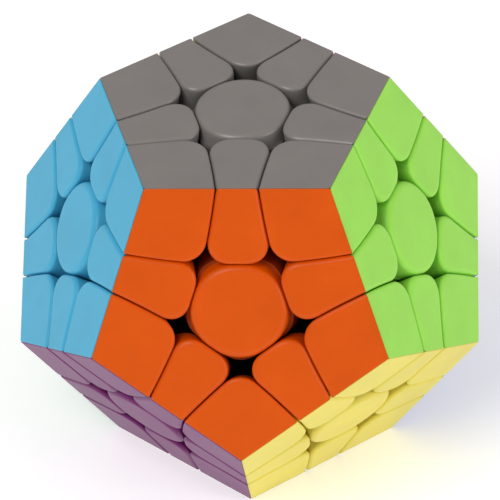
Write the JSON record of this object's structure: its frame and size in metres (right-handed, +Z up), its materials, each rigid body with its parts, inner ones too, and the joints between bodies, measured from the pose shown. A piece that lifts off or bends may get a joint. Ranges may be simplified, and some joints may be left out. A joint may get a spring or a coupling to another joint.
{
  "type": "dodecahedron twisty puzzle",
  "caption": "Palm-sized dodecahedron puzzle whose coloured faces twist about their centres, with spring-tensioned centres on a hidden core.",
  "frame": {"origin": "middle of the white face that the puzzle stands on", "axes": "+Z up through the grey face; -Y towards the orange face; +X to the right of it"},
  "size_m": [0.085, 0.0892, 0.0724],
  "materials": {
    "grey_plastic": "satin moulded",
    "orange_plastic": "satin moulded",
    "sky_plastic": "satin moulded",
    "lime_plastic": "satin moulded",
    "yellow_plastic": "satin moulded",
    "purple_plastic": "satin moulded",
    "white_plastic": "satin moulded",
    "pink_plastic": "satin moulded",
    "cream_plastic": "satin moulded",
    "navy_plastic": "satin moulded",
    "red_plastic": "satin moulded",
    "green_plastic": "satin moulded",
    "foot_plastic": "smooth moulded",
    "base_plastic": "smooth moulded",
    "core_plastic": "smooth moulded",
    "screw_steel": "zinc plated",
    "spring_steel": "drawn wire",
    "washer_steel": "stamped"
  },
  "bodies": {
    "core": {"core_spider": "core_plastic", "cream_centre_base": "base_plastic", "cream_centre_cap": "cream_plastic", "cream_shells_on_core": "cream_plastic", "feet_on_core": "foot_plastic", "lime_centre_base": "base_plastic", "lime_centre_cap": "lime_plastic", "lime_shells_on_core": "lime_plastic", "navy_centre_base": "base_plastic", "navy_centre_cap": "navy_plastic", "navy_shells_on_core": "navy_plastic", "orange_centre_base": "base_plastic", "orange_centre_cap": "orange_plastic", "orange_shells_on_core": "orange_plastic", "pink_centre_base": "base_plastic", "pink_centre_cap": "pink_plastic", "pink_shells_on_core": "pink_plastic", "purple_centre_base": "base_plastic", "purple_centre_cap": "purple_plastic", "purple_shells_on_core": "purple_plastic", "red_centre_base": "base_plastic", "red_centre_cap": "red_plastic", "red_shells_on_core": "red_plastic", "screws": "screw_steel", "sky_centre_base": "base_plastic", "sky_centre_cap": "sky_plastic", "sky_shells_on_core": "sky_plastic", "springs": "spring_steel", "washers": "washer_steel", "white_centre_base": "base_plastic", "white_centre_cap": "white_plastic", "white_shells_on_core": "white_plastic"},
    "grey": {"cream_shells_on_grey": "cream_plastic", "feet_on_grey": "foot_plastic", "grey_centre_base": "base_plastic", "grey_centre_cap": "grey_plastic", "grey_shells": "grey_plastic", "lime_shells_on_grey": "lime_plastic", "orange_shells_on_grey": "orange_plastic", "pink_shells_on_grey": "pink_plastic", "sky_shells_on_grey": "sky_plastic"},
    "yellow": {"feet_on_yellow": "foot_plastic", "lime_shells_on_yellow": "lime_plastic", "navy_shells_on_yellow": "navy_plastic", "orange_shells_on_yellow": "orange_plastic", "purple_shells_on_yellow": "purple_plastic", "white_shells_on_yellow": "white_plastic", "yellow_centre_base": "base_plastic", "yellow_centre_cap": "yellow_plastic", "yellow_shells": "yellow_plastic"},
    "green": {"cream_shells_on_green": "cream_plastic", "feet_on_green": "foot_plastic", "green_centre_base": "base_plastic", "green_centre_cap": "green_plastic", "green_shells": "green_plastic", "purple_shells_on_green": "purple_plastic", "red_shells_on_green": "red_plastic", "sky_shells_on_green": "sky_plastic", "white_shells_on_green": "white_plastic"}
  },
  "joints": [
    {"name": "grey_layer_turn", "type": "hinge", "parent": "core", "child": "grey", "pos_m": [0, 0, 0.03619], "axis": [0, 0, 1], "continuous": true},
    {"name": "yellow_layer_turn", "type": "hinge", "parent": "core", "child": "yellow", "pos_m": [0, 0, 0.03619], "axis": [0.5257, -0.7236, -0.4472], "continuous": true},
    {"name": "green_layer_turn", "type": "hinge", "parent": "core", "child": "green", "pos_m": [0, 0, 0.03619], "axis": [-0.8507, 0.2764, -0.4472], "continuous": true}
  ]
}
